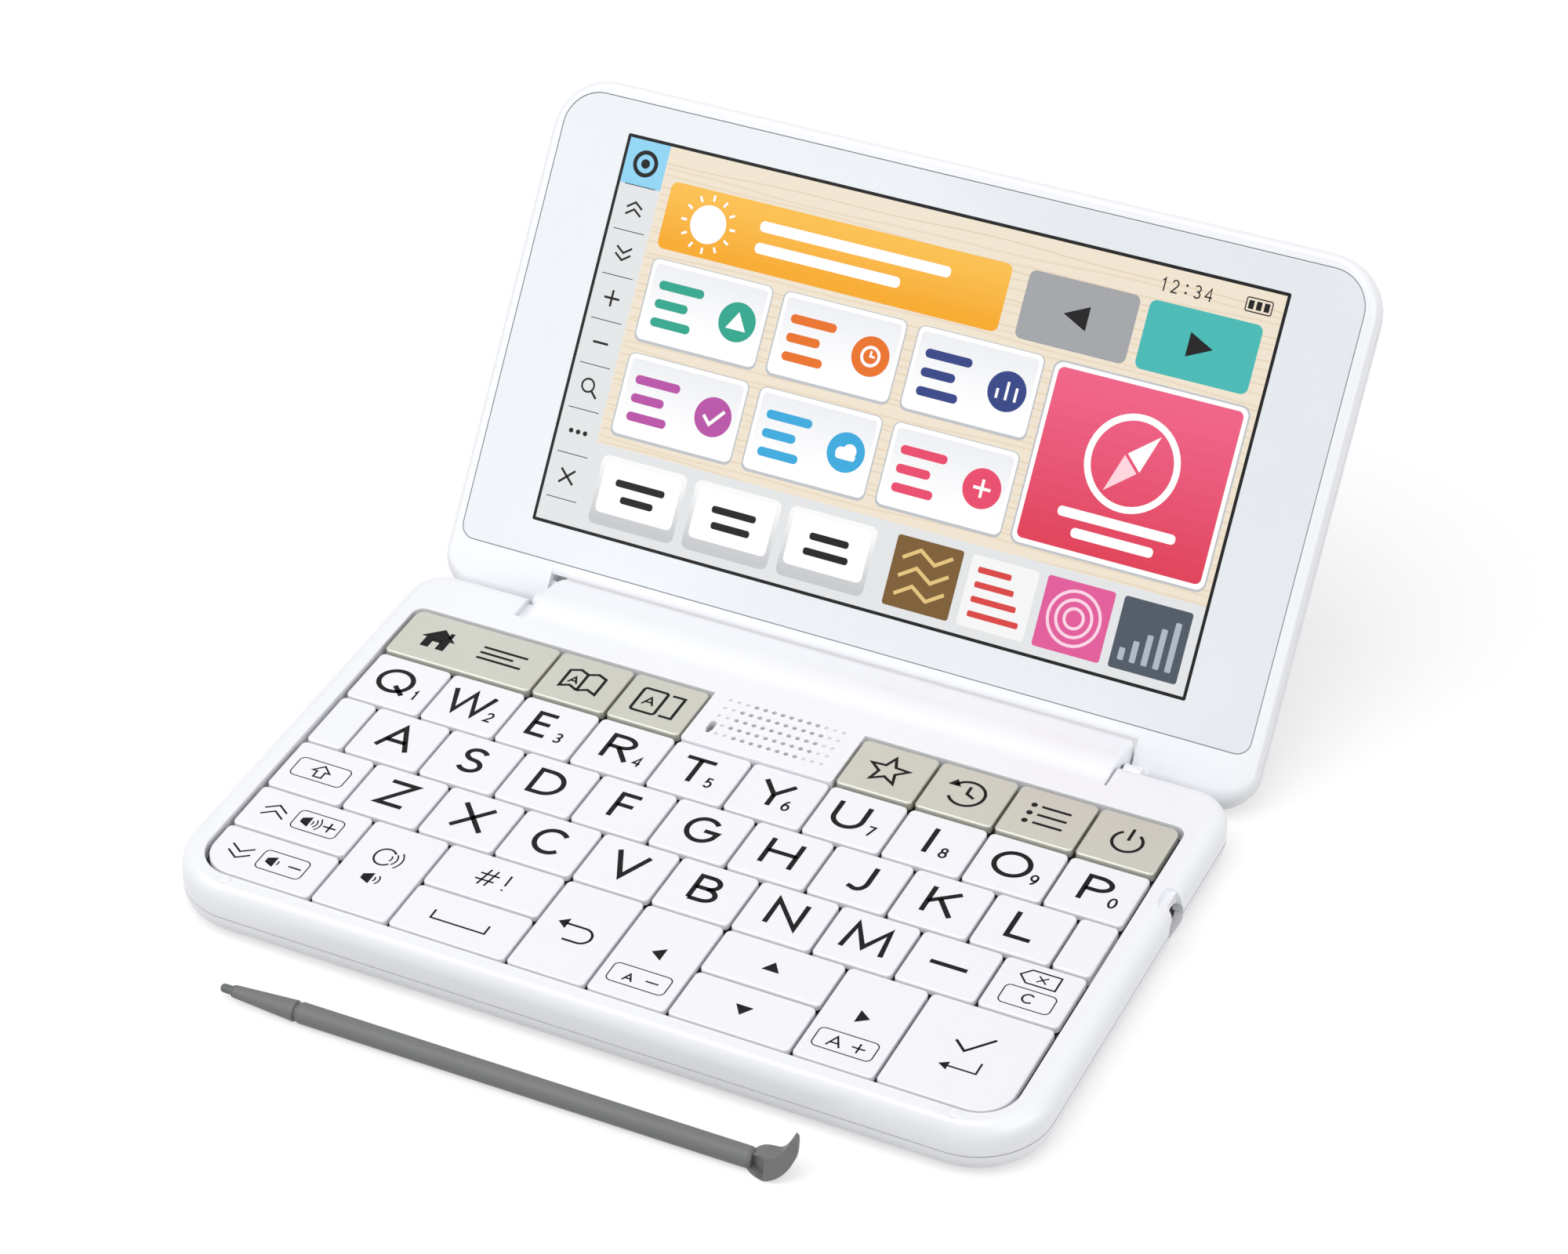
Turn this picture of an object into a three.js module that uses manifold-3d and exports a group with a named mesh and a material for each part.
import * as THREE from "three";
import { mergeVertices } from "three/addons/utils/BufferGeometryUtils.js";
import Module from "manifold-3d";

// Clamshell pocket dictionary, millimetres, +Z up, keyboard towards -Y.
// The origin is at the middle of the flat underside.

const wasm = await Module();
wasm.setup();

// Driving dimensions of the base; the keys across set its width
const keyPitch = 13.44;
const keysAcross = 10;
const sideBorder = 4.95;
const caseWidth = keysAcross * keyPitch + 2 * sideBorder;
const overallDepth = 93;
const deckHeight = 9.2;
const seamHeight = 3.7;
const seamGap = 0.2;
const shellWall = 1.4;
const deckThickness = 1.4;
const floorThickness = 1.6;
const frontCornerRadius = 12;
const rearCornerRadius = 6.6;
const underEdgeRadius = 3;
const sideRollRadius = 2.9;
const frontRollDepth = 1.9;
const frontRollHeight = 5.5;
const footRadius = 3.5;
const footHeight = 0.5;
const footInsetX = 14;
const footInsetFront = 9;
const footInsetRear = 10;

// Driving dimensions of the hinge and the lid
const barrelRadius = 6;
const hingeHeight = 6.3;
const hingeFromFront = overallDepth - barrelRadius;
const axisBehindShoulder = 0.8;
const shoulderDepth = hingeFromFront - axisBehindShoulder;
const leftShoulderWidth = 21.85;
const rightShoulderWidth = 20.15;
const humpRise = 1.2;
const humpToe = 7.4;
const humpCrest = 2;
const lidOverhang = 0.05;
const lidWidth = caseWidth + 2 * lidOverhang;
const lidThickness = 7;
const lidReach = 86.8;
const lidTail = 2.3;
const lidFaceOffset = 3.46;
const openingAngle = 126.46;
const lidFarCornerRadius = 9.5;
const lidHingeCornerRadius = 7;
const lidFaceEdgeRadius = 1.2;
const lidBackEdgeRadius = 2.5;
const lidWall = 1.4;

// Driving dimensions of the keyboard
const keyGap = 0.5;
const keyFieldFront = 4.4;
const keyTopBelowDeck = 0.3;
const functionKeyRise = 0.35;
const keyTravel = 0.6;
const halfRowDepth = 10.71;
const rowDepth = { thumb: 20.98, shift: 12.16, home: 12.42, top: 12.54, function: 12.2 };
const wellMargin = 0.5;

// Facet counts
const cornerSteps = 5;
const smallCornerSteps = 4;
const capCornerSteps = 2;
const curveSteps = 8;
const boreSides = 14;
const barrelSides = 16;
const pinSides = 8;
const frontRollSteps = 2;
const edgeRollSteps = 4;

// Clearances and the overrun that every cut has
const runningGap = 0.3;
const restGap = 0.1;
const cutOverrun = 2;
const weldDistance = 2e-5;

// Places that follow from the driving dimensions
const frontY = -overallDepth / 2;
const shoulderY = frontY + shoulderDepth;
const hingeY = frontY + hingeFromFront;
const caseHalf = caseWidth / 2;
const humpLeft = leftShoulderWidth - caseHalf;
const humpRight = caseHalf - rightShoulderWidth;
const keyFieldY = frontY + keyFieldFront;
const keyFieldHalf = (keysAcross * keyPitch) / 2;
const keyTopHeight = deckHeight - keyTopBelowDeck;

const rowY = { thumb: keyFieldY };
rowY.shift = rowY.thumb + rowDepth.thumb;
rowY.home = rowY.shift + rowDepth.shift;
rowY.top = rowY.home + rowDepth.home;
rowY.function = rowY.top + rowDepth.top;
rowY.end = rowY.function + rowDepth.function;
rowY.half = rowY.thumb + halfRowDepth;

// Key cap, its stem through the plate and the flange that keeps it in
const capThickness = 1.2;
const capEdgeRadius = 0.35;
const capCornerRadius = 0.9;
const outerCornerRadius = 5.6;
const functionCornerRadius = 1.6;
const stemInset = 2.2;
const flangeOverhang = 0.7;
const flangeThickness = 0.4;
const plateThickness = 0.7;
const pressedGap = 0.2;
const flangeGap = 0.2;
const capUnderside = keyTopHeight - capThickness;
const plateTop = capUnderside - keyTravel - pressedGap;
const plateUnderside = plateTop - plateThickness;
const flangeTop = plateUnderside - flangeGap;
const flangeUnderside = flangeTop - flangeThickness;

// Key mat and circuit board below the flanges
const domeRise = 0.25;
const matThickness = 0.3;
const boardThickness = 0.6;
const domeTop = flangeUnderside - keyTravel - runningGap / 2;
const matTop = domeTop - domeRise;
const matUnderside = matTop - matThickness;
const boardTop = matUnderside - restGap;
const boardUnderside = boardTop - boardThickness;

function roundedRing(box, radii, steps) {
  const centres = [
    { x: box.x1, y: box.y0, sx: -1, sy: 1, turn: -0.5 },
    { x: box.x1, y: box.y1, sx: -1, sy: -1, turn: 0 },
    { x: box.x0, y: box.y1, sx: 1, sy: -1, turn: 0.5 },
    { x: box.x0, y: box.y0, sx: 1, sy: 1, turn: 1 },
  ];
  const ring = [];
  centres.forEach((corner, index) => {
    const { rx, ry } = radii[index];
    const count = steps[index];
    for (let step = 0; step <= count; step += 1) {
      const angle = (corner.turn + (count ? step / count / 2 : 0)) * Math.PI;
      const centreX = corner.x + corner.sx * rx;
      const centreY = corner.y + corner.sy * ry;
      ring.push(new THREE.Vector2(centreX + rx * Math.cos(angle), centreY + ry * Math.sin(angle)));
    }
  });
  return ring;
}

function everyCorner(value) {
  return Array(4).fill(value);
}

function evenRing(box, radius, steps) {
  return roundedRing(box, everyCorner({ rx: radius, ry: radius }), everyCorner(steps));
}

function grow(box, margin) {
  return { x0: box.x0 - margin, x1: box.x1 + margin, y0: box.y0 - margin, y1: box.y1 + margin };
}

// A closed solid from rings at rising heights; rings at one height make a step.
function stackedGeometry(levels) {
  const positions = [];
  const index = [];
  const starts = levels.map(({ z, ring }) => {
    const start = positions.length / 3;
    ring.forEach((point) => positions.push(point.x, point.y, z));
    return start;
  });
  const addFlat = (points, numbers, facesUp, holeSize) => {
    const contour = points.slice(0, points.length - holeSize);
    const hole = points.slice(points.length - holeSize);
    const triangles = THREE.ShapeUtils.triangulateShape([...contour], holeSize ? [[...hole]] : []);
    triangles.forEach((triangle) => {
      const corners = triangle.map((number) => points[number]);
      const risesUp = THREE.ShapeUtils.area(corners) > 0;
      const ordered = risesUp === facesUp ? triangle : [...triangle].reverse();
      ordered.forEach((number) => index.push(numbers[number]));
    });
  };
  const numbersOf = (level) => levels[level].ring.map((point, offset) => starts[level] + offset);
  for (let level = 0; level + 1 < levels.length; level += 1) {
    const lower = levels[level];
    const upper = levels[level + 1];
    if (lower.z === upper.z) {
      const narrows = THREE.ShapeUtils.area(upper.ring) < THREE.ShapeUtils.area(lower.ring);
      const [outer, inner] = narrows ? [level, level + 1] : [level + 1, level];
      const points = [...levels[outer].ring, ...levels[inner].ring];
      addFlat(points, [...numbersOf(outer), ...numbersOf(inner)], narrows, levels[inner].ring.length);
    } else {
      const count = lower.ring.length;
      for (let step = 0; step < count; step += 1) {
        const next = (step + 1) % count;
        const [a, b] = [starts[level] + step, starts[level] + next];
        const [c, d] = [starts[level + 1] + next, starts[level + 1] + step];
        index.push(a, b, c, a, c, d);
      }
    }
  }
  addFlat(levels[0].ring, numbersOf(0), false, 0);
  addFlat(levels[levels.length - 1].ring, numbersOf(levels.length - 1), true, 0);
  const geometry = new THREE.BufferGeometry();
  geometry.setAttribute("position", new THREE.Float32BufferAttribute(positions, 3));
  geometry.setIndex(index);
  return geometry;
}

function toSolid(geometry) {
  const bare = geometry.clone();
  bare.deleteAttribute("normal");
  bare.deleteAttribute("uv");
  const merged = mergeVertices(bare, weldDistance);
  return new wasm.Manifold(
    new wasm.Mesh({
      numProp: 3,
      vertProperties: new Float32Array(merged.attributes.position.array),
      triVerts: new Uint32Array(merged.index.array),
    }),
  );
}

function toGeometry(solid) {
  const mesh = solid.getMesh();
  const geometry = new THREE.BufferGeometry();
  geometry.setAttribute("position", new THREE.BufferAttribute(mesh.vertProperties, 3));
  geometry.setIndex(new THREE.BufferAttribute(mesh.triVerts, 1));
  return geometry;
}

function stackedSolid(levels) {
  return toSolid(stackedGeometry(levels));
}

function prism(ring, z0, z1) {
  return stackedSolid([{ z: z0, ring }, { z: z1, ring }]);
}

function block(x0, x1, y0, y1, z0, z1) {
  const geometry = new THREE.BoxGeometry(x1 - x0, y1 - y0, z1 - z0);
  geometry.translate((x0 + x1) / 2, (y0 + y1) / 2, (z0 + z1) / 2);
  return toSolid(geometry);
}

function cylinderX(radius, x0, x1, y, z, sides) {
  const geometry = new THREE.CylinderGeometry(radius, radius, x1 - x0, sides);
  geometry.rotateZ(-Math.PI / 2);
  geometry.rotateX(Math.PI / sides);
  geometry.translate((x0 + x1) / 2, y, z);
  return toSolid(geometry);
}

function cylinderZ(radius, x, y, z0, z1, sides, topRadius = radius) {
  const geometry = new THREE.CylinderGeometry(topRadius, radius, z1 - z0, sides);
  geometry.rotateX(Math.PI / 2);
  geometry.translate(x, y, (z0 + z1) / 2);
  return toSolid(geometry);
}

function extrudeAlongX(shape, x0, x1, curveSegments) {
  const settings = { depth: x1 - x0, bevelEnabled: false, curveSegments };
  const geometry = new THREE.ExtrudeGeometry(shape, settings);
  const yAxis = new THREE.Vector3(0, 1, 0);
  const zAxis = new THREE.Vector3(0, 0, 1);
  const xAxis = new THREE.Vector3(1, 0, 0);
  geometry.applyMatrix4(new THREE.Matrix4().makeBasis(yAxis, zAxis, xAxis));
  geometry.translate(x0, 0, 0);
  return toSolid(geometry);
}

function union(solids) {
  return solids.reduce((sum, solid) => sum.add(solid));
}

function bothSides(makeSolid) {
  const solid = makeSolid();
  return solid.add(solid.mirror([1, 0, 0]));
}

// How far an edge rounded by a quarter ellipse has drawn in at a height
function roll(distance, length, depth) {
  if (distance <= 0) return 0;
  const share = Math.min(distance / length, 1);
  return depth * (1 - Math.sqrt(1 - share * share));
}

// Outline of the base at a height, drawn in by a wall
function caseRing(height, wall) {
  const under = roll(underEdgeRadius - height, underEdgeRadius, underEdgeRadius);
  const side = wall + under + roll(height - deckHeight + sideRollRadius, sideRollRadius, sideRollRadius);
  const rear = side;
  const frontRoll = roll(height - deckHeight + frontRollHeight, frontRollHeight, frontRollDepth);
  const front = wall + under + frontRoll;
  const box = { x0: side - caseHalf, x1: caseHalf - side, y0: frontY + front, y1: shoulderY - rear };
  const frontRadii = { rx: frontCornerRadius - side, ry: frontCornerRadius - front };
  const rearRadii = { rx: rearCornerRadius - side, ry: rearCornerRadius - rear };
  return roundedRing(box, [frontRadii, rearRadii, rearRadii, frontRadii], everyCorner(cornerSteps));
}

function arcHeights(start, radius, count, fallsTowardsEnd) {
  return Array.from({ length: count + 1 }, (unused, step) => {
    const angle = (step / count) * (Math.PI / 2);
    return start + radius * (fallsTowardsEnd ? Math.sin(angle) : 1 - Math.cos(angle));
  });
}

const upperSeam = seamHeight + seamGap / 2;
const lowerSeam = seamHeight - seamGap / 2;

function caseSlab(heights, wall) {
  return stackedSolid(heights.map((z) => ({ z, ring: caseRing(z, wall) })));
}

const hingeAxis = { y: hingeY, z: hingeHeight };
const humpLipAngle = THREE.MathUtils.degToRad(20);
const humpToeEase = 2.2;
const humpCrestEase = 2.7;
const humpLipEase = 1.7;
const humpTuck = 10;
const humpClutchLength = 14;
const humpWall = 1.4;
const humpCoreDrop = 1;

// Section of the hump: a toe that swells from the deck, a crest, then the barrel round the hinge axis
function humpShape() {
  const { y, z } = hingeAxis;
  const crestZ = deckHeight + humpRise;
  const lipY = y + barrelRadius * Math.cos(humpLipAngle);
  const lipZ = z + barrelRadius * Math.sin(humpLipAngle);
  const shape = new THREE.Shape();
  shape.moveTo(y - humpTuck, z - barrelRadius);
  shape.lineTo(y - humpTuck, deckHeight - deckThickness);
  shape.lineTo(y - humpToe, deckHeight - deckThickness);
  shape.lineTo(y - humpToe, deckHeight);
  const crestY = y - humpCrest;
  const toeY = y - humpToe + humpToeEase;
  shape.bezierCurveTo(toeY, deckHeight, crestY - humpCrestEase, crestZ, crestY, crestZ);
  const lipControlZ = lipZ + humpLipEase / 2;
  shape.bezierCurveTo(crestY + humpCrestEase, crestZ, lipY - humpLipEase, lipControlZ, lipY, lipZ);
  shape.absarc(y, z, barrelRadius, humpLipAngle, -Math.PI / 2, true);
  shape.lineTo(y - humpTuck, z - barrelRadius);
  return shape;
}

function hump() {
  return extrudeAlongX(humpShape(), humpLeft, humpRight, curveSteps);
}

function above(height) {
  return block(-caseWidth, caseWidth, -caseWidth, caseWidth, height, height + caseWidth);
}

function below(height) {
  return block(-caseWidth, caseWidth, -caseWidth, caseWidth, height - caseWidth, height);
}

// Room for the hinge: an open middle, a bore for the clutch on the right and one for the hollow
// trunnion of the lid on the left, through which the display cable runs. The lid's ear turns in the
// wide slit on the left; on the right its knuckle turns in a pocket behind the shoulder.
const clutchRadius = 2.2;
const clutchGap = 0.2;
const clutchEndWall = 1.2;
const shaftRadius = 0.85;
const shaftGap = 0.25;
const trunnionRadius = 2.1;
const trunnionBore = 1.1;
const trunnionReach = 5;
const earInnerGap = 0.5;
const earThickness = 1.2;
const earRadius = 2.3;
const slitOuterGap = 0.2;
const earInner = humpLeft - earInnerGap;
const earOuter = earInner - earThickness;
const slitOuter = earOuter - slitOuterGap;
const rightSlit = 0.4;
const knuckleStart = humpRight + rightSlit;
const knuckleLength = 3;
const knuckleRadius = 1.55;
const knuckleEndWall = 0.8;
const knuckleEnd = knuckleStart + knuckleLength;
const pocketGap = 0.25;
const pocketWall = 1.2;
const knuckleFront = axisBehindShoulder - pocketGap;
const toeSlitDepth = 1.6;

function hingeRoom() {
  const { y, z } = hingeAxis;
  const clutchStart = humpRight - humpClutchLength;
  const clutchEnd = humpRight - clutchEndWall;
  const trunnionEnd = humpLeft + humpClutchLength;
  const core = barrelRadius - humpWall - humpCoreDrop;
  const passageFront = y - humpTuck - shellWall;
  const passageTop = deckHeight - deckThickness;
  const shaftBore = shaftRadius + shaftGap;
  const clutchBore = clutchRadius + clutchGap;
  const trunnionHole = trunnionRadius + shaftGap;
  return union([
    cylinderX(core, trunnionEnd, clutchStart, y, z - humpCoreDrop, barrelSides),
    block(trunnionEnd, clutchStart, passageFront, y, floorThickness + humpWall, passageTop),
    cylinderX(clutchBore, clutchStart - cutOverrun, clutchEnd, y, z, boreSides),
    cylinderX(shaftBore, clutchStart, knuckleStart, y, z, boreSides),
    cylinderX(trunnionHole, humpLeft - cutOverrun, trunnionEnd + cutOverrun, y, z, boreSides),
  ]);
}

function hingeSlits() {
  const { y } = hingeAxis;
  const top = deckHeight + cutOverrun;
  const earFront = y - earRadius - shaftGap;
  const toe = y - humpToe;
  const rear = y + caseWidth;
  const toeFloor = deckHeight - toeSlitDepth;
  return union([
    block(slitOuter, humpLeft, earFront, rear, -cutOverrun, top),
    block(slitOuter, humpLeft, toe, y, toeFloor, top),
    block(humpRight, knuckleStart, earFront, rear, -cutOverrun, top),
    block(humpRight, knuckleStart, toe, y, toeFloor, top),
  ]);
}

// Pocket in the rear wall of the right shoulder for the lid's knuckle, and the wall that closes it
function knucklePocket() {
  const { y, z } = hingeAxis;
  return cylinderX(knuckleRadius + pocketGap, humpRight, knuckleEnd + pocketGap, y, z, boreSides);
}

function pocketBack() {
  const { y } = hingeAxis;
  const front = y - knuckleRadius - pocketGap - pocketWall;
  const end = knuckleEnd + pocketGap + pocketWall;
  return block(knuckleStart, end, front, shoulderY - shellWall / 2, upperSeam, deckHeight - deckThickness);
}

// Key well: its outline, the speaker island that stands in it and the plate that guides the keys
const wellCornerRadius = 6.5;
const wellRearRadius = 2;
const tubWall = 1.2;
const wellBox = {
  x0: -keyFieldHalf - wellMargin,
  x1: keyFieldHalf + wellMargin,
  y0: rowY.thumb - wellMargin,
  y1: rowY.end + wellMargin,
};
const islandHalf = keyPitch - keyGap / 2;

function wellRing(margin) {
  const front = { rx: wellCornerRadius + margin, ry: wellCornerRadius + margin };
  const rear = { rx: wellRearRadius + margin, ry: wellRearRadius + margin };
  return roundedRing(grow(wellBox, margin), [front, rear, rear, front], everyCorner(smallCornerSteps));
}

function wellCut() {
  const well = prism(wellRing(0), plateTop, deckHeight + cutOverrun);
  const bottom = plateTop - cutOverrun;
  const top = deckHeight + 2 * cutOverrun;
  const rear = wellBox.y1 + cutOverrun;
  const island = block(-islandHalf, islandHalf, rowY.function, rear, bottom, top);
  return well.subtract(island);
}

// Keys: name, row and width as a share of the key pitch; a null name leaves its width free
const doubleKeyShare = 2;
const wideKeyShare = 1.5;
const homeIndentShare = 0.5;
const letterKeys = (letters) => [...letters].map((letter) => [`key_${letter}`, 1]);
const keyRows = [
  {
    row: "function",
    indent: 0,
    keys: [
      ["key_home", doubleKeyShare],
      ["key_words_a", 1],
      ["key_words_b", 1],
      [null, doubleKeyShare],
      ["key_my_books", 1],
      ["key_history", 1],
      ["key_list", 1],
      ["key_power", 1],
    ],
  },
  { row: "top", indent: 0, keys: letterKeys("qwertyuiop") },
  { row: "home", indent: homeIndentShare, keys: letterKeys("asdfghjkl") },
  {
    row: "shift",
    indent: 0,
    keys: [["key_shift", 1], ...letterKeys("zxcvbnm"), ["key_dash", 1], ["key_delete", 1]],
  },
  {
    row: "thumb",
    indent: 0,
    keys: [
      [["key_page_down", "key_page_up"], wideKeyShare],
      ["key_voice", 1],
      [["key_space", "key_symbol"], wideKeyShare],
      ["key_back", 1],
      ["key_left", 1],
      [["key_down", "key_up"], wideKeyShare],
      ["key_right", 1],
      ["key_enter", wideKeyShare],
    ],
  },
];

function cellBetween(x0, x1, y0, y1) {
  return grow({ x0, x1, y0, y1 }, -keyGap / 2);
}

// Every key with the box of its cap in the plan view
function layOutKeys() {
  const cells = [];
  keyRows.forEach(({ row, indent, keys }) => {
    let x = indent * keyPitch - keyFieldHalf;
    const y0 = rowY[row];
    const y1 = y0 + rowDepth[row];
    keys.forEach(([name, pitches]) => {
      const x1 = x + pitches * keyPitch;
      if (Array.isArray(name)) {
        cells.push({ name: name[0], row, box: cellBetween(x, x1, y0, rowY.half) });
        cells.push({ name: name[1], row, box: cellBetween(x, x1, rowY.half, y1) });
      } else if (name) {
        cells.push({ name, row, box: cellBetween(x, x1, y0, y1) });
      }
      x = x1;
    });
  });
  return cells;
}

const keyCells = layOutKeys();

// Corner radii of a cap: the outer keys follow the corners of the well
function capCorners(cell) {
  const corners = everyCorner(capCornerRadius);
  const steps = everyCorner(capCornerSteps);
  if (cell.name === "key_enter") {
    corners[0] = outerCornerRadius;
    steps[0] = cornerSteps;
  }
  if (cell.name === "key_page_down") {
    corners[3] = outerCornerRadius;
    steps[3] = cornerSteps;
  }
  if (cell.name === "key_power") corners[1] = functionCornerRadius;
  if (cell.name === "key_home") corners[2] = functionCornerRadius;
  return { corners, steps };
}

function capRing(cell, inset) {
  const { corners, steps } = capCorners(cell);
  const radii = corners.map((radius) => ({ rx: radius - inset, ry: radius - inset }));
  return roundedRing(grow(cell.box, -inset), radii, steps);
}

function keyGeometry(cell) {
  const top = keyTopHeight + (cell.row === "function" ? functionKeyRise : 0);
  const stem = evenRing(grow(cell.box, -stemInset), 0, 0);
  const flange = evenRing(grow(cell.box, flangeOverhang - stemInset), 0, 0);
  return stackedGeometry([
    { z: flangeUnderside, ring: flange },
    { z: flangeTop, ring: flange },
    { z: flangeTop, ring: stem },
    { z: capUnderside, ring: stem },
    { z: capUnderside, ring: capRing(cell, 0) },
    { z: top - capEdgeRadius, ring: capRing(cell, 0) },
    { z: top, ring: capRing(cell, capEdgeRadius) },
  ]);
}

function keyApertures() {
  const openings = keyCells.map((cell) => {
    const hole = grow(cell.box, runningGap - stemInset);
    const bottom = plateUnderside - cutOverrun;
    return block(hole.x0, hole.x1, hole.y0, hole.y1, bottom, plateTop + cutOverrun / 2);
  });
  return union(openings);
}

// Blank caps at both ends of the home row belong to the case and fill half a pitch
function blankCaps() {
  const y0 = rowY.home;
  const y1 = y0 + rowDepth.home;
  const box = cellBetween(keyFieldHalf - keyPitch / 2, keyFieldHalf, y0, y1);
  const outline = evenRing(box, capCornerRadius, capCornerSteps);
  const topRadius = capCornerRadius - capEdgeRadius;
  return bothSides(() =>
    stackedSolid([
      { z: plateTop - plateThickness / 2, ring: outline },
      { z: keyTopHeight - capEdgeRadius, ring: outline },
      { z: keyTopHeight, ring: evenRing(grow(box, -capEdgeRadius), topRadius, capCornerSteps) },
    ]),
  );
}

// Speaker perforations: five rows of small holes through the island, the outer ones only dimples
const grillePitchX = 1.53;
const grillePitchY = 2.13;
const grilleHoleRadius = 0.38;
const grilleRearInset = 0.4;
const grilleRows = [
  { first: 3, last: 10 },
  { first: 2, last: 11 },
  { first: 2, last: 11 },
  { first: 2, last: 11 },
  { first: 3, last: 10 },
];
const grilleColumns = 14;
const grilleHoleSides = 6;
const dimpleDepth = 0.25;
const grilleSlotLength = 2.4;
const grilleSlotWidth = 1;
const grilleSlotForward = 7.1;
const grilleSlotDepth = 0.9;
const speakerLength = 20;
const speakerWidth = 9.6;
const speakerThickness = 2.2;
const speakerY = (rowY.function + rowY.end) / 2 + grillePitchX / 2;
const speakerTop = deckHeight - deckThickness - runningGap;

function speakerHoles() {
  const firstX = (-(grilleColumns - 1) * grillePitchX) / 2;
  const firstY = rowY.end - grilleRearInset;
  const holes = [];
  grilleRows.forEach(({ first, last }, row) => {
    for (let column = 0; column < grilleColumns; column += 1) {
      const x = firstX + column * grillePitchX;
      const y = firstY - row * grillePitchY;
      const through = column >= first && column <= last;
      const floor = through ? plateTop : deckHeight - dimpleDepth;
      holes.push(cylinderZ(grilleHoleRadius, x, y, floor, deckHeight + cutOverrun, grilleHoleSides));
    }
  });
  const slotY = firstY - grilleSlotForward;
  const half = grilleSlotWidth / 2;
  const reach = grilleSlotLength / 2;
  const slotBox = { x0: firstX - half, x1: firstX + half, y0: slotY - reach, y1: slotY + reach };
  const slotRing = evenRing(slotBox, half, smallCornerSteps);
  holes.push(prism(slotRing, deckHeight - grilleSlotDepth, deckHeight + cutOverrun));
  return union(holes);
}

function speakerBox(margin) {
  return grow(
    {
      x0: -speakerLength / 2,
      x1: speakerLength / 2,
      y0: speakerY - speakerWidth / 2,
      y1: speakerY + speakerWidth / 2,
    },
    margin,
  );
}

function speakerPocket() {
  const box = speakerBox(runningGap);
  return block(box.x0, box.x1, box.y0, box.y1, upperSeam - cutOverrun, deckHeight - deckThickness);
}

// Silo for the stylus: its mouth in the right side, a scoop above it and a trough below the keys
const siloFromFront = 59.7;
const siloHeight = 3.3;
const siloBore = 1.85;
const siloEndX = -24;
const siloWall = 0.65;
const siloTroughTop = 4.4;
const mouthRadius = 2.9;
const mouthDepth = 3.4;
const mouthRise = 0.6;
const scoopWidth = 2.45;
const scoopLength = 5.3;
const scoopDepth = 1;
const scoopRadius = 1.4;
const scoopBehindAxis = 2;
const gateShare = 0.4;
const gateFrontShare = 0.7;
const siloY = frontY + siloFromFront;
const siloInnerX = caseHalf - mouthDepth;

function siloMouth() {
  const outside = caseHalf + cutOverrun;
  const mouth = cylinderX(mouthRadius, siloInnerX, outside, siloY, siloHeight + mouthRise, boreSides);
  const scoopRear = siloY + scoopBehindAxis;
  const box = {
    x0: caseHalf - scoopWidth,
    x1: outside,
    y0: scoopRear - scoopLength,
    y1: scoopRear,
  };
  const scoopRing = evenRing(box, scoopRadius, smallCornerSteps);
  const scoop = prism(scoopRing, deckHeight - scoopDepth, deckHeight + cutOverrun);
  const gateStart = caseHalf - scoopWidth * gateShare;
  const gateFront = siloY - mouthRadius * gateFrontShare;
  const gate = block(gateStart, outside, gateFront, scoopRear, siloHeight, deckHeight);
  return union([mouth, scoop, gate]);
}

function siloBoreCut() {
  return cylinderX(siloBore, siloEndX, caseHalf + cutOverrun, siloY, siloHeight, boreSides);
}

function siloTrough() {
  const half = siloBore + siloWall;
  const start = siloEndX - siloWall;
  return block(start, siloInnerX, siloY - half, siloY + half, floorThickness / 2, siloTroughTop);
}

// Two tiny bumpers in the front corners of the deck
const bumperRadius = 1;
const bumperHeight = 0.4;
const bumperFromSide = 11.6;
const bumperFromFront = 2.7;

function bumpers() {
  const x = caseHalf - bumperFromSide;
  const y = frontY + bumperFromFront;
  const base = deckHeight - deckThickness / 2;
  const top = deckHeight + bumperHeight;
  return bothSides(() => cylinderZ(bumperRadius, x, y, base, top, pinSides));
}

function upperCaseGeometry() {
  const frontRollRise = frontRollHeight - sideRollRadius;
  const heights = [
    ...arcHeights(deckHeight - frontRollHeight, frontRollRise, frontRollSteps, true),
    ...arcHeights(deckHeight - sideRollRadius, sideRollRadius, edgeRollSteps, true).slice(1),
  ].filter((height) => height > upperSeam + seamGap);
  const skin = caseSlab([upperSeam, ...heights], 0).add(hump().intersect(above(upperSeam)));
  const hollow = caseSlab([upperSeam - cutOverrun, deckHeight - deckThickness], shellWall);
  const tub = prism(wellRing(tubWall), plateUnderside, deckHeight);
  const body = skin.subtract(hollow.subtract(tub)).add(pocketBack());
  const hingeCuts = union([hingeRoom(), hingeSlits(), knucklePocket()]);
  const keyCuts = union([wellCut(), keyApertures()]);
  const speakerCuts = union([speakerPocket(), speakerHoles()]);
  const siloCuts = union([siloMouth(), siloBoreCut()]);
  const cutBody = body.subtract(hingeCuts).subtract(keyCuts).subtract(speakerCuts).subtract(siloCuts);
  return toGeometry(cutBody.add(blankCaps()).add(bumpers()));
}

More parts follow.
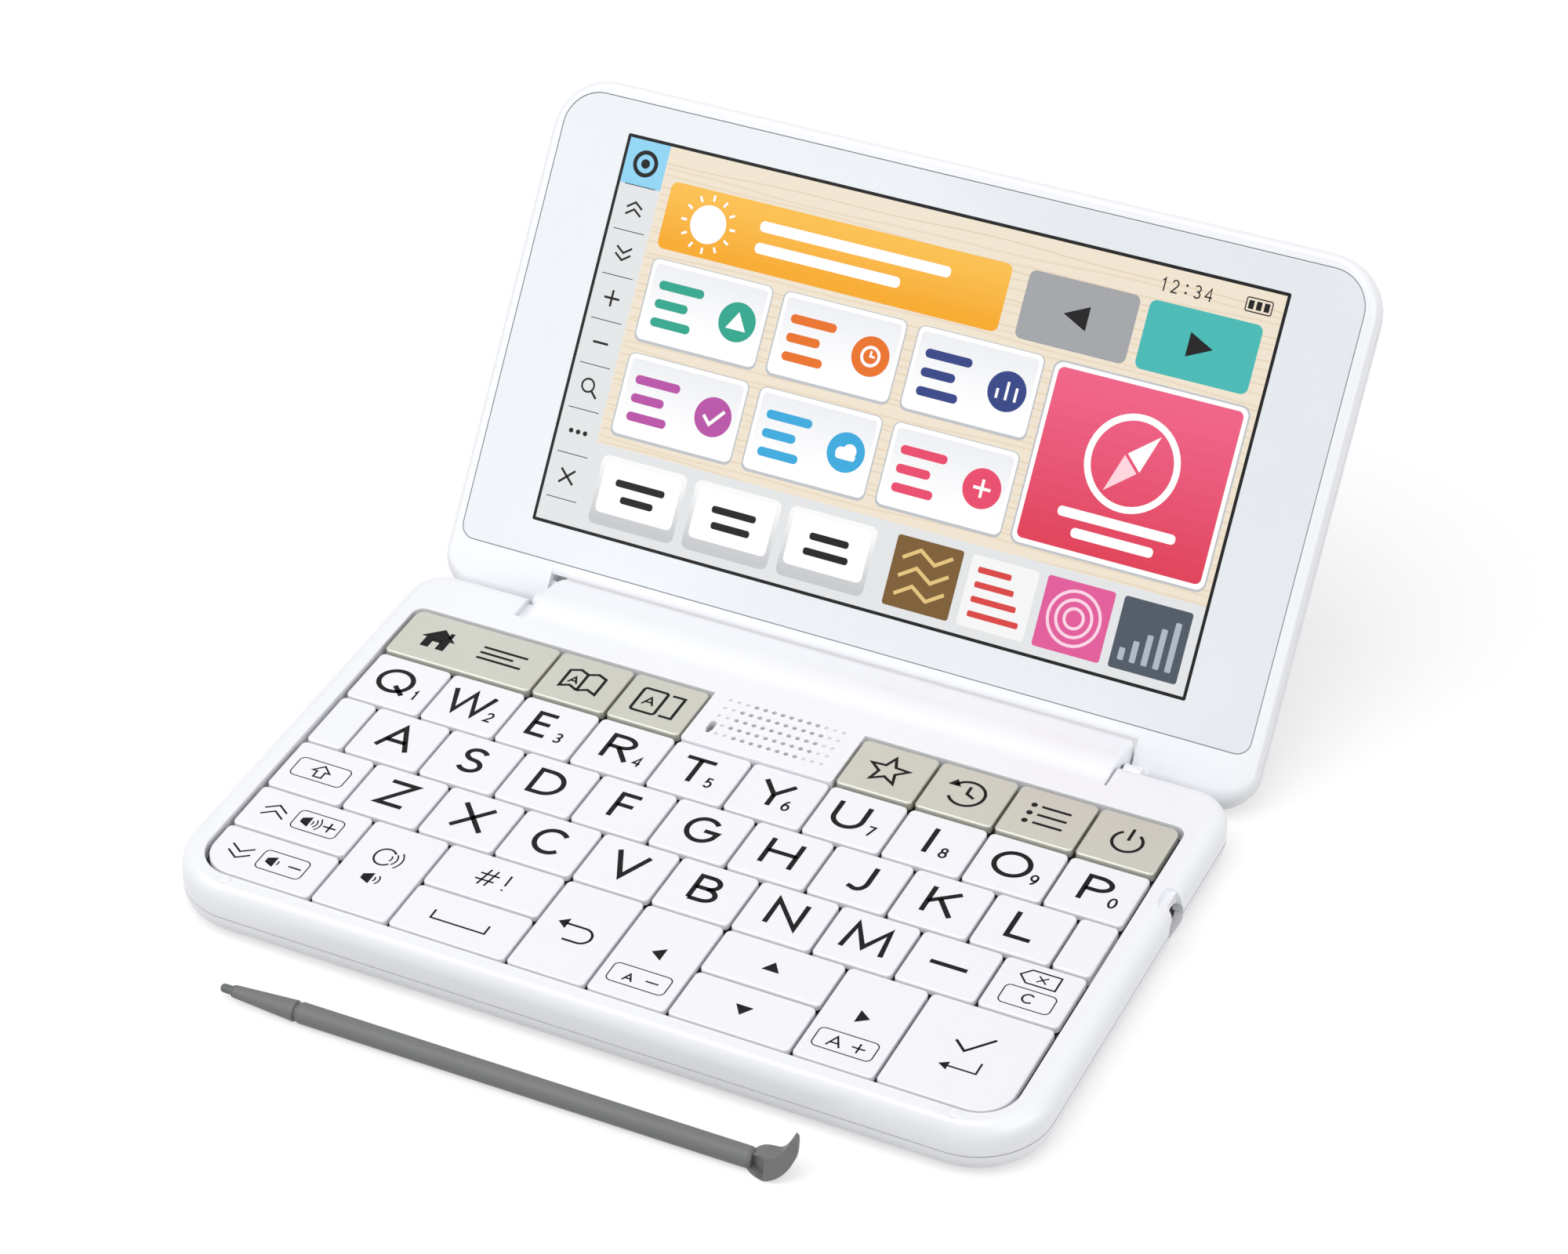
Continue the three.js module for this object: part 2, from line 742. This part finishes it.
// Battery bay in the floor: a ledge carries the cover, the pack lies above it
const bayWidth = 64;
const bayDepth = 34;
const bayFromFront = 9;
const bayCornerRadius = 3;
const bayLedge = 2;
const coverThickness = 0.9;
const packHeadroom = 0.4;
const bayFrontY = frontY + bayFromFront;
const bayBox = { x0: -bayWidth / 2, x1: bayWidth / 2, y0: bayFrontY, y1: bayFrontY + bayDepth };
const gripCount = 5;
const gripPitch = 1.6;
const gripWidth = 0.8;
const gripLength = 14;
const gripDepth = 0.3;
const gripFromRear = 3;
const bossRadius = 2.4;
const bossHoleRadius = 0.9;
const bossInsetX = 9;
const bossRows = [12, 48, 70];
const recessRadius = 1.9;
const recessDepth = 0.9;

function bosses() {
  const places = bossRows.flatMap((fromFront) => {
    const x = caseHalf - bossInsetX;
    return [-x, x].map((place) => ({ x: place, y: frontY + fromFront }));
  });
  const top = boardUnderside - restGap;
  const posts = places.map(({ x, y }) => cylinderZ(bossRadius, x, y, floorThickness / 2, top, pinSides));
  const holes = places.flatMap(({ x, y }) => [
    cylinderZ(bossHoleRadius, x, y, -cutOverrun, boardUnderside + cutOverrun, pinSides),
    cylinderZ(recessRadius, x, y, -cutOverrun, recessDepth, pinSides),
  ]);
  return { posts: union(posts), holes: union(holes) };
}

function feet() {
  const x = caseHalf - footInsetX;
  const rows = [frontY + footInsetFront, shoulderY - footInsetRear];
  const foot = (y) => cylinderZ(footRadius, x, y, -footHeight, floorThickness / 2, boreSides);
  return union(rows.map((y) => bothSides(() => foot(y))));
}

function lowerCaseGeometry() {
  const rollHeights = arcHeights(0, underEdgeRadius, edgeRollSteps, false);
  const heights = [...rollHeights.filter((height) => height < lowerSeam), lowerSeam];
  const skin = caseSlab(heights, 0).add(hump().intersect(below(lowerSeam)));
  const hollow = caseSlab([floorThickness, underEdgeRadius, lowerSeam + cutOverrun], shellWall);
  const { posts, holes } = bosses();
  const coverRing = evenRing(bayBox, bayCornerRadius, smallCornerSteps);
  const coverHole = prism(coverRing, -cutOverrun, coverThickness + restGap);
  const packRing = evenRing(grow(bayBox, -bayLedge), bayCornerRadius / 2, smallCornerSteps);
  const packHole = prism(packRing, 0, floorThickness + cutOverrun);
  const body = skin.subtract(hollow).add(posts).add(siloTrough());
  const cuts = union([coverHole, packHole, hingeRoom(), hingeSlits(), siloMouth(), siloBoreCut(), holes]);
  return toGeometry(body.subtract(cuts).add(feet()));
}

// Cover with a few grip grooves near its rear edge
function batteryCoverGeometry() {
  const edge = bayCornerRadius - runningGap;
  const cover = prism(evenRing(grow(bayBox, -runningGap), edge, smallCornerSteps), 0, coverThickness);
  const grooves = Array.from({ length: gripCount }, (unused, number) => {
    const y = bayBox.y1 - gripFromRear - number * gripPitch;
    const half = gripLength / 2;
    return block(-half, half, y - gripWidth, y, -cutOverrun, gripDepth);
  });
  return toGeometry(cover.subtract(union(grooves)));
}

function batteryPackGeometry() {
  const bottom = coverThickness + restGap;
  const box = grow(bayBox, -bayLedge - runningGap);
  const edge = bayCornerRadius / 2 - runningGap;
  return stackedGeometry([
    { z: bottom, ring: evenRing(box, edge, smallCornerSteps) },
    { z: boardUnderside - packHeadroom, ring: evenRing(box, edge, smallCornerSteps) },
  ]);
}

// Board and mat fill the case below the keys and leave a lane for the silo
const boardMargin = 2;
const boardHalf = caseHalf - shellWall - boardMargin;
const boardCorner = frontCornerRadius / 2;
const laneGap = 0.4;
const boardBox = { x0: -boardHalf, x1: boardHalf, y0: rowY.thumb, y1: rowY.end - boardMargin };
const boardRing = evenRing(boardBox, boardCorner, smallCornerSteps);

function siloLane(z0, z1) {
  const half = siloBore + siloWall + laneGap;
  const start = siloEndX - siloWall - laneGap;
  return block(start, caseWidth, siloY - half, siloY + half, z0 - cutOverrun, z1 + cutOverrun);
}

function mainBoardGeometry() {
  const board = prism(boardRing, boardUnderside, boardTop);
  return toGeometry(board.subtract(siloLane(boardUnderside, boardTop)));
}

const domeRadius = 2;
const domeTopRadius = 1.2;
const domeInset = 0.6;
const domeSides = 6;

function keyMatGeometry() {
  const sheet = prism(boardRing, matUnderside, matTop);
  const laneFront = siloY - siloBore - siloWall - laneGap;
  const base = matTop - matThickness / 2;
  const domes = keyCells.map((cell) => {
    const x = (cell.box.x0 + cell.box.x1) / 2;
    const middle = (cell.box.y0 + cell.box.y1) / 2;
    const edge = cell.row === "top" ? laneFront : boardBox.y1;
    const y = Math.min(middle, edge - domeRadius - domeInset);
    return cylinderZ(domeRadius, x, y, base, domeTop, domeSides, domeTopRadius);
  });
  return toGeometry(sheet.subtract(siloLane(matUnderside, matTop)).add(union(domes)));
}

const magnetHeightShare = 0.55;
const magnetInsetShare = 0.2;
const magnetCornerShare = 0.25;
const rimCornerShare = 0.4;

function speakerGeometry() {
  const box = speakerBox(0);
  const bottom = speakerTop - speakerThickness;
  const step = speakerTop - speakerThickness * magnetHeightShare;
  const magnetBox = grow(box, -speakerWidth * magnetInsetShare);
  const magnet = evenRing(magnetBox, speakerWidth * magnetCornerShare, smallCornerSteps);
  const rim = evenRing(box, speakerWidth * rimCornerShare, smallCornerSteps);
  return stackedGeometry([
    { z: bottom, ring: magnet },
    { z: step, ring: magnet },
    { z: step, ring: rim },
    { z: speakerTop, ring: rim },
  ]);
}

// The lid is drawn in its own frame: the hinge axis is the origin, +Y runs up the lid, +Z faces the reader
const lidHalf = lidWidth / 2;
const lidFaceZ = -lidFaceOffset;
const lidBackZ = lidFaceZ - lidThickness;
const lidSplitZ = lidFaceZ - lidThickness / 2;
const notchTop = 5.3;
const notchChamfer = 0.9;

function lidRing(z, wall) {
  const fromFace = lidFaceEdgeRadius - (lidFaceZ - z);
  const fromBack = lidBackEdgeRadius - (z - lidBackZ);
  const faceRoll = roll(fromFace, lidFaceEdgeRadius, lidFaceEdgeRadius);
  const side = wall + faceRoll + roll(fromBack, lidBackEdgeRadius, lidBackEdgeRadius);
  const tail = wall + roll(Math.abs(z - lidSplitZ), lidThickness / 2, lidThickness / 2);
  const box = { x0: side - lidHalf, x1: lidHalf - side, y0: tail - lidTail, y1: lidReach - side };
  const near = { rx: lidHingeCornerRadius - side, ry: lidHingeCornerRadius - tail };
  const far = { rx: lidFarCornerRadius - side, ry: lidFarCornerRadius - side };
  return roundedRing(box, [near, far, far, near], everyCorner(cornerSteps));
}

function lidSlab(heights, wall) {
  return stackedSolid(heights.map((z) => ({ z, ring: lidRing(z, wall) })));
}

// Touch window and the recess it lies in
const lidRim = 2.05;
const windowHalf = lidHalf - lidRim;
const windowLow = 7.4;
const lidFarRim = 2.3;
const windowHigh = lidReach - lidFarRim;
const windowThickness = 1;
const windowFarRadius = 6.3;
const windowNearRadius = 2.3;
const windowGap = 0.15;
const screenSideBorder = 9.65;
const screenLowBorder = 3;
const screenHighBorder = 2.9;
const screenModuleHalf = windowHalf - screenSideBorder;
const screenModuleLow = windowLow + screenLowBorder;
const screenModuleHigh = windowHigh - screenHighBorder;
const screenModuleThickness = 2.8;
const screenFrameWidth = 1.2;
const screenModuleTop = lidFaceZ - windowThickness - 2 * restGap;

function windowRing(margin) {
  const box = { x0: -windowHalf, x1: windowHalf, y0: windowLow, y1: windowHigh };
  const near = { rx: windowNearRadius + margin, ry: windowNearRadius + margin };
  const far = { rx: windowFarRadius + margin, ry: windowFarRadius + margin };
  return roundedRing(grow(box, margin), [near, far, far, near], everyCorner(smallCornerSteps));
}

const screenBox = {
  x0: -screenModuleHalf,
  x1: screenModuleHalf,
  y0: screenModuleLow,
  y1: screenModuleHigh,
};

function lidNotch() {
  const shape = new THREE.Shape();
  const tail = -lidTail - cutOverrun;
  shape.moveTo(tail, lidFaceZ + cutOverrun);
  shape.lineTo(notchTop + notchChamfer + cutOverrun, lidFaceZ + cutOverrun);
  shape.lineTo(notchTop, lidFaceZ - notchChamfer);
  shape.lineTo(notchTop, lidBackZ - cutOverrun);
  shape.lineTo(tail, lidBackZ - cutOverrun);
  return extrudeAlongX(shape, slitOuter - slitOuterGap, knuckleStart, 1);
}

// Hinge ear on the left with its hollow trunnion, and the knuckle on the right with a blind bore
const earNeckTail = 1.8;
const earNeckReach = 4.2;
const earNeckStart = 1.2;
const earRootWidth = 1.5;
const lidRootZ = lidSplitZ + seamGap / 2;
const neckZ = lidFaceZ - earNeckStart;

function earShape() {
  const shape = new THREE.Shape();
  shape.moveTo(-earRadius, 0);
  shape.lineTo(-earRadius, lidFaceZ);
  shape.lineTo(-earNeckTail, neckZ);
  shape.lineTo(-earNeckTail, lidRootZ);
  shape.lineTo(earNeckReach, lidRootZ);
  shape.lineTo(earNeckReach, neckZ);
  shape.lineTo(earRadius, lidFaceZ);
  shape.lineTo(earRadius, 0);
  shape.absarc(0, 0, earRadius, 0, Math.PI, false);
  return shape;
}

function ear() {
  const trunnionEnd = humpLeft + trunnionReach;
  const rootEnd = slitOuter - earRootWidth;
  return extrudeAlongX(earShape(), earOuter, earInner, curveSteps)
    .add(block(rootEnd, earInner, -earNeckTail, earNeckReach, lidRootZ, neckZ))
    .add(cylinderX(trunnionRadius, earInner - earThickness / 2, trunnionEnd, 0, 0, boreSides))
    .subtract(cylinderX(trunnionBore, earOuter - cutOverrun, trunnionEnd + cutOverrun, 0, 0, boreSides));
}

function knuckle() {
  const boreEnd = knuckleEnd - knuckleEndWall;
  return cylinderX(knuckleRadius, knuckleStart, knuckleEnd, 0, 0, boreSides)
    .add(block(knuckleStart, knuckleEnd, -knuckleRadius, knuckleFront, lidRootZ, 0))
    .subtract(cylinderX(shaftRadius + shaftGap, knuckleStart - cutOverrun, boreEnd, 0, 0, boreSides));
}

function lidBezelGeometry() {
  const bottom = lidSplitZ + seamGap / 2;
  const steps = arcHeights(lidFaceZ - lidFaceEdgeRadius, lidFaceEdgeRadius, edgeRollSteps, true);
  const skin = lidSlab([bottom, ...steps], 0);
  const recessFloor = lidFaceZ - windowThickness - restGap;
  const recess = prism(windowRing(windowGap), recessFloor, lidFaceZ + cutOverrun);
  const screenHole = prism(evenRing(grow(screenBox, runningGap), 0, 0), lidBackZ, lidFaceZ + cutOverrun);
  const frame = skin.subtract(lidNotch()).subtract(recess).subtract(screenHole);
  return toGeometry(frame.add(ear()).add(knuckle()));
}

const ribWidth = 1.6;
const ribShares = [0.25, 0.75];

function lidBackGeometry() {
  const top = lidSplitZ - seamGap / 2;
  const bottomSteps = arcHeights(lidBackZ, lidBackEdgeRadius, edgeRollSteps, false);
  const skin = lidSlab([...bottomSteps, top], 0);
  const innerBox = { x0: -windowHalf, x1: windowHalf, y0: windowLow, y1: windowHigh };
  const innerRing = evenRing(innerBox, windowFarRadius, smallCornerSteps);
  const hollow = prism(innerRing, lidBackZ + lidWall, top + cutOverrun);
  const ribReach = windowHalf + lidWall / 2;
  const ribBase = lidBackZ + lidWall / 2;
  const ribTop = screenModuleTop - screenModuleThickness - runningGap;
  const ribs = ribShares.map((share) => {
    const y = THREE.MathUtils.lerp(windowLow, windowHigh, share);
    return block(-ribReach, ribReach, y - ribWidth / 2, y + ribWidth / 2, ribBase, ribTop);
  });
  return toGeometry(skin.subtract(lidNotch()).subtract(hollow).add(union(ribs)));
}

function touchWindowGeometry() {
  return stackedGeometry([
    { z: lidFaceZ - windowThickness, ring: windowRing(0) },
    { z: lidFaceZ, ring: windowRing(0) },
  ]);
}

function screenModuleGeometry() {
  const top = screenModuleTop;
  const trayStep = top - screenModuleThickness / 2;
  const tray = evenRing(screenBox, 0, 0);
  const panel = evenRing(grow(screenBox, -screenFrameWidth), 0, 0);
  return stackedGeometry([
    { z: top - screenModuleThickness, ring: tray },
    { z: trayStep, ring: tray },
    { z: trayStep, ring: panel },
    { z: top, ring: panel },
  ]);
}

// Hinge shaft with its clutch barrel, turned about the hinge axis
function hingeShaftGeometry() {
  const clutchStart = humpRight - humpClutchLength + runningGap;
  const clutchEnd = humpRight - clutchEndWall - runningGap;
  const shaftEnd = knuckleEnd - knuckleEndWall - restGap;
  const profile = [
    new THREE.Vector2(0, clutchStart),
    new THREE.Vector2(clutchRadius, clutchStart),
    new THREE.Vector2(clutchRadius, clutchEnd),
    new THREE.Vector2(shaftRadius, clutchEnd),
    new THREE.Vector2(shaftRadius, shaftEnd),
    new THREE.Vector2(0, shaftEnd),
  ];
  const geometry = new THREE.LatheGeometry(profile, boreSides);
  geometry.rotateZ(-Math.PI / 2);
  return geometry;
}

// Stylus: tip, cone, groove and shaft turned about its length, with a finned head
const stylusLength = 94.5;
const stylusRadius = 1.68;
const stylusTipRadius = 0.7;
const stylusTipLength = 2.3;
const stylusConeLength = 10.7;
const stylusConeStart = 0.95;
const stylusGrooveWidth = 0.8;
const stylusGrooveDepth = 0.2;
const stylusHeadLength = 6.3;
const stylusHeadRadius = 2.5;
const stylusFinHeight = 5;
const stylusFinFromEnd = 2.5;
const stylusHeadThickness = 3.1;
const tipFlatShare = 0.6;
const tipStepShare = 0.15;
const tipRoundShare = 0.7;
const stylusSides = 12;
const stylusMiddleX = -6.35;
const stylusFrontOffset = 10.6;
const stylusTurn = THREE.MathUtils.degToRad(0.5);

function stylusGeometry() {
  const half = stylusLength / 2;
  const shaftEnd = half - stylusHeadLength / 2;
  const coneStart = -half + stylusTipLength;
  const coneEnd = coneStart + stylusConeLength;
  const grooveEnd = coneEnd + stylusGrooveWidth;
  const neckRadius = stylusRadius - stylusGrooveDepth;
  const profile = [
    [0, -half],
    [stylusTipRadius * tipFlatShare, -half + stylusTipRadius * tipStepShare],
    [stylusTipRadius, -half + stylusTipRadius * tipRoundShare],
    [stylusTipRadius, coneStart],
    [stylusConeStart, coneStart + stylusGrooveDepth],
    [stylusRadius, coneEnd],
    [neckRadius, coneEnd + stylusGrooveDepth],
    [neckRadius, grooveEnd - stylusGrooveDepth],
    [stylusRadius, grooveEnd],
    [stylusRadius, shaftEnd],
    [0, shaftEnd],
  ].map(([radius, along]) => new THREE.Vector2(radius, along));
  const turned = new THREE.LatheGeometry(profile, stylusSides);
  turned.rotateZ(-Math.PI / 2);
  const headStart = half - stylusHeadLength;
  const centreX = half - stylusHeadRadius;
  const centreZ = stylusHeadRadius - stylusRadius;
  const finX = half - stylusFinFromEnd;
  const shape = new THREE.Shape();
  shape.moveTo(headStart, stylusRadius);
  shape.lineTo(headStart, -stylusRadius);
  shape.lineTo(centreX, -stylusRadius);
  shape.absarc(centreX, centreZ, stylusHeadRadius, -Math.PI / 2, Math.PI / 5, false);
  shape.quadraticCurveTo(half, stylusFinHeight - stylusRadius, finX, stylusFinHeight);
  shape.quadraticCurveTo(finX - stylusRadius, stylusRadius, headStart, stylusRadius);
  const settings = { depth: stylusHeadThickness, bevelEnabled: false, curveSegments: curveSteps };
  const head = new THREE.ExtrudeGeometry(shape, settings);
  head.translate(0, 0, -stylusHeadThickness / 2);
  head.rotateX(Math.PI / 2);
  return toGeometry(toSolid(turned).add(toSolid(head)));
}

const whitePlastic = { color: 0xf1f2f7, roughness: 0.32, metalness: 0 };
const champagnePlastic = { color: 0xb9b3a2, roughness: 0.3, metalness: 0.4 };
const stylusPlastic = { color: 0x85868a, roughness: 0.38, metalness: 0.1 };
const clearWindow = { color: 0xe4eaee, roughness: 0.08, metalness: 0 };
const screenFilm = { color: 0x20262c, roughness: 0.4, metalness: 0 };
const steel = { color: 0x9a9c9f, roughness: 0.35, metalness: 0.9 };
const boardGreen = { color: 0x2f6b4a, roughness: 0.6, metalness: 0 };
const matRubber = { color: 0xb9bcc0, roughness: 0.8, metalness: 0 };
const packWrap = { color: 0x5b6068, roughness: 0.6, metalness: 0 };
const speakerBlack = { color: 0x2b2b2d, roughness: 0.7, metalness: 0 };

function addMesh(parent, name, geometry, look) {
  geometry.computeVertexNormals();
  const mesh = new THREE.Mesh(geometry, new THREE.MeshStandardMaterial(look));
  mesh.name = name;
  parent.add(mesh);
  return mesh;
}

const dictionary = new THREE.Group();

const base = new THREE.Group();
dictionary.add(base);
addMesh(base, "base_upper_case", upperCaseGeometry(), whitePlastic);
addMesh(base, "base_lower_case", lowerCaseGeometry(), whitePlastic);
addMesh(base, "battery_cover", batteryCoverGeometry(), whitePlastic);
addMesh(base, "battery_pack", batteryPackGeometry(), packWrap);
addMesh(base, "main_board", mainBoardGeometry(), boardGreen);
addMesh(base, "key_mat", keyMatGeometry(), matRubber);
addMesh(base, "speaker", speakerGeometry(), speakerBlack);

keyCells.forEach((cell) => {
  const look = cell.row === "function" ? champagnePlastic : whitePlastic;
  addMesh(base, cell.name, keyGeometry(cell), look);
});

const lid = new THREE.Group();
lid.position.set(0, hingeAxis.y, hingeAxis.z);
lid.rotation.x = THREE.MathUtils.degToRad(180 - openingAngle);
dictionary.add(lid);
addMesh(lid, "lid_bezel", lidBezelGeometry(), whitePlastic);
addMesh(lid, "lid_back_cover", lidBackGeometry(), whitePlastic);
addMesh(lid, "touch_window", touchWindowGeometry(), clearWindow);
addMesh(lid, "screen_module", screenModuleGeometry(), screenFilm);
addMesh(lid, "hinge_shaft", hingeShaftGeometry(), steel);

const stylus = addMesh(dictionary, "stylus", stylusGeometry(), stylusPlastic);
stylus.position.set(stylusMiddleX, frontY - stylusFrontOffset, stylusRadius - footHeight + restGap / 2);
stylus.rotation.z = stylusTurn;

export default dictionary;
